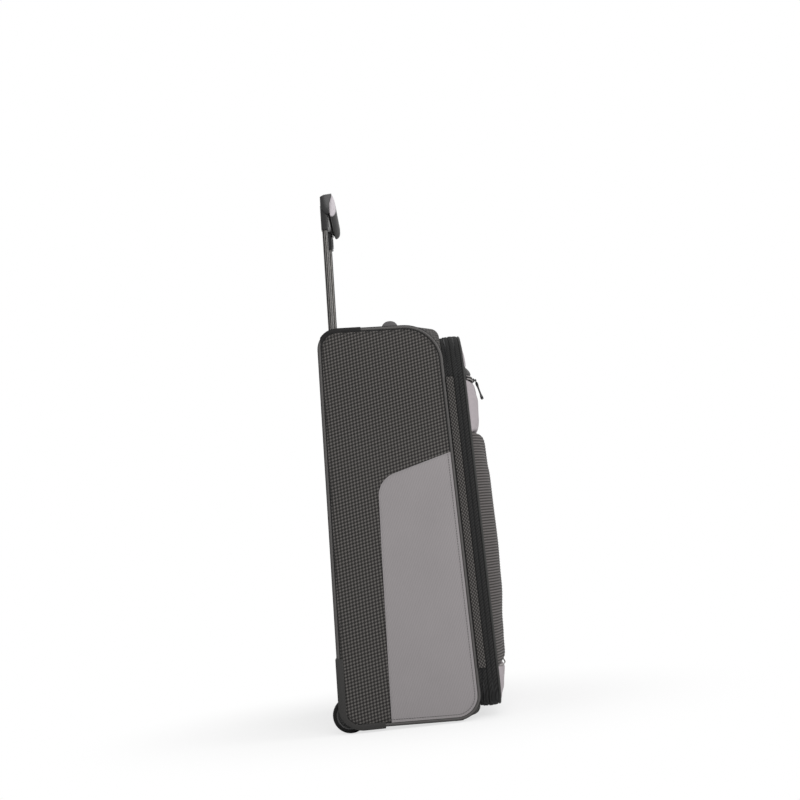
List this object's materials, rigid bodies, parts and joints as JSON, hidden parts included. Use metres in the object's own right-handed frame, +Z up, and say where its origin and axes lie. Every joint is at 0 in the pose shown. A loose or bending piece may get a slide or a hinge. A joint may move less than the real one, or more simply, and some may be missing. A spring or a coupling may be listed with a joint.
{
  "type": "softside upright suitcase",
  "caption": "Upright case of woven cloth on two wheels, with a telescoping handle, a zipped lid hinged on one side and an expansion band.",
  "frame": {"origin": "on the floor under the middle of the overall box", "axes": "+Z up; the front, where the lid and its pockets are, faces -Y; +X is the side away from the lid's hinge"},
  "size_m": [0.4666, 0.3351, 1.0011],
  "materials": {
    "weave_fabric": "ballistic weave, near black with pale flecks",
    "light_fabric": "light grey micro weave",
    "ribbed_fabric": "dark cloth with fine horizontal ribs",
    "black_tape": "woven zip tape and padded covers, black",
    "piping": "dark grey vinyl cord",
    "housing_plastic": "moulded, fine grain",
    "tube_aluminium": "anodised black, fluted",
    "grip_plastic": "black, smooth",
    "insert_plastic": "light grey, satin",
    "tyre": "cast polyurethane, black",
    "hub_plastic": "moulded hub",
    "steel": "bright steel",
    "lining": "plain woven polyester lining",
    "board": "stiff extruded sheet",
    "zip_metal": "lacquered zinc sliders",
    "webbing": "padded handle cover and straps"
  },
  "bodies": {
    "case": {"back_panel": "weave_fabric", "top_panel": "weave_fabric", "bottom_panel": "weave_fabric", "front_frame": "weave_fabric", "side_panel_left": "weave_fabric", "side_panel_right": "weave_fabric", "side_patch_left": "light_fabric", "side_patch_right": "light_fabric", "side_pipings": "piping", "seam_bindings": "black_tape", "case_zip_tape": "black_tape", "handle_tray": "housing_plastic", "outer_tubes": "tube_aluminium", "base_bracket": "housing_plastic", "back_board": "board", "back_lining": "lining", "packing_straps": "webbing", "strap_buckles": "hub_plastic", "frame_wire": "steel", "wheel_housing_left": "housing_plastic", "wheel_housing_right": "housing_plastic", "wheel_axles": "steel", "front_feet": "housing_plastic", "handle_anchors": "housing_plastic"},
    "wheel_left": {"tyre_left": "tyre", "wheel_hub_left": "hub_plastic", "wheel_bearings_left": "steel"},
    "wheel_right": {"tyre_right": "tyre", "wheel_hub_right": "hub_plastic", "wheel_bearings_right": "steel"},
    "trolley": {"inner_tubes": "tube_aluminium", "stop_bushes": "hub_plastic", "grip_shell": "grip_plastic", "grip_insert": "insert_plastic"},
    "release_button": {"release_button": "insert_plastic", "push_bar": "steel"},
    "carry_handle": {"carry_handle": "webbing"},
    "lid": {"lid_zip_tape": "black_tape", "expansion_tape_rear": "black_tape", "hinge_strip": "weave_fabric"},
    "lid_front": {"expansion_tape_front": "black_tape", "lid_piping": "piping", "lid_panel": "ribbed_fabric", "lid_lining": "lining", "expansion_gusset": "black_tape", "upper_trim": "light_fabric", "zip_hood": "housing_plastic", "pocket_zip_tape": "black_tape", "upper_pocket": "light_fabric", "ribbed_pocket": "ribbed_fabric", "lower_trim": "light_fabric"},
    "main_slider_upper": {"main_slider_upper": "zip_metal"},
    "main_pull_upper": {"main_pull_upper": "zip_metal"},
    "main_slider_lower": {"main_slider_lower": "zip_metal"},
    "main_pull_lower": {"main_pull_lower": "zip_metal"},
    "expansion_slider": {"expansion_slider": "zip_metal"},
    "expansion_pull": {"expansion_pull": "zip_metal"},
    "pocket_slider": {"pocket_slider": "zip_metal"},
    "pocket_pull": {"pocket_pull": "zip_metal"}
  },
  "joints": [
    {"name": "wheel_left_spin", "type": "hinge", "parent": "case", "child": "wheel_left", "pos_m": [0, 0.13565, 0.0317], "axis": [1, 0, 0], "continuous": true},
    {"name": "wheel_right_spin", "type": "hinge", "parent": "case", "child": "wheel_right", "pos_m": [0, 0.13565, 0.0317], "axis": [1, 0, 0], "continuous": true},
    {"name": "trolley_slide", "type": "slide", "parent": "case", "child": "trolley", "axis": [0, -0.0429, 0.9991], "range_m": [-0.225, 0]},
    {"name": "button_press", "type": "slide", "parent": "trolley", "child": "release_button", "axis": [0, -0.0429, 0.9991], "range_m": [-0.004, 0], "stiffness_N_per_m": 800, "springref_m": 0.003},
    {"name": "handle_lift", "type": "slide", "parent": "case", "child": "carry_handle", "axis": [0, 0, 1], "range_m": [0, 0.005]},
    {"name": "lid_hinge", "type": "hinge", "parent": "case", "child": "lid", "pos_m": [-0.229, -0.10595, 0.35], "axis": [0, 0, -1], "range_deg": [0, 165]},
    {"name": "expansion_slide", "type": "slide", "parent": "lid", "child": "lid_front", "axis": [0, -1, 0], "range_m": [0, 0.035]},
    {"name": "main_slider_upper_slide", "type": "slide", "parent": "case", "child": "main_slider_upper", "axis": [0, 0, 1], "range_m": [0, 0.17]},
    {"name": "main_slider_lower_slide", "type": "slide", "parent": "case", "child": "main_slider_lower", "axis": [0, 0, 1], "range_m": [-0.25, 0]},
    {"name": "expansion_slider_slide", "type": "slide", "parent": "lid", "child": "expansion_slider", "axis": [0, 0, 1], "range_m": [-0.2, 0.25]},
    {"name": "pocket_slider_slide", "type": "slide", "parent": "lid_front", "child": "pocket_slider", "axis": [1, 0, 0], "range_m": [0, 0.3]},
    {"name": "main_pull_upper_hinge", "type": "hinge", "parent": "main_slider_upper", "child": "main_pull_upper", "pos_m": [0.2339, -0.10595, 0.426], "axis": [0, -1, 0], "range_deg": [0, 150]},
    {"name": "main_pull_lower_hinge", "type": "hinge", "parent": "main_slider_lower", "child": "main_pull_lower", "pos_m": [0.2339, -0.10595, 0.368], "axis": [0, -1, 0], "range_deg": [0, 150]},
    {"name": "expansion_pull_hinge", "type": "hinge", "parent": "expansion_slider", "child": "expansion_pull", "pos_m": [0.2339, -0.12255, 0.3], "axis": [0, -1, 0], "range_deg": [0, 150]},
    {"name": "pocket_pull_hinge", "type": "hinge", "parent": "pocket_slider", "child": "pocket_pull", "pos_m": [-0.15, -0.15775, 0.611], "axis": [-1, 0, 0], "range_deg": [0, 130]}
  ]
}
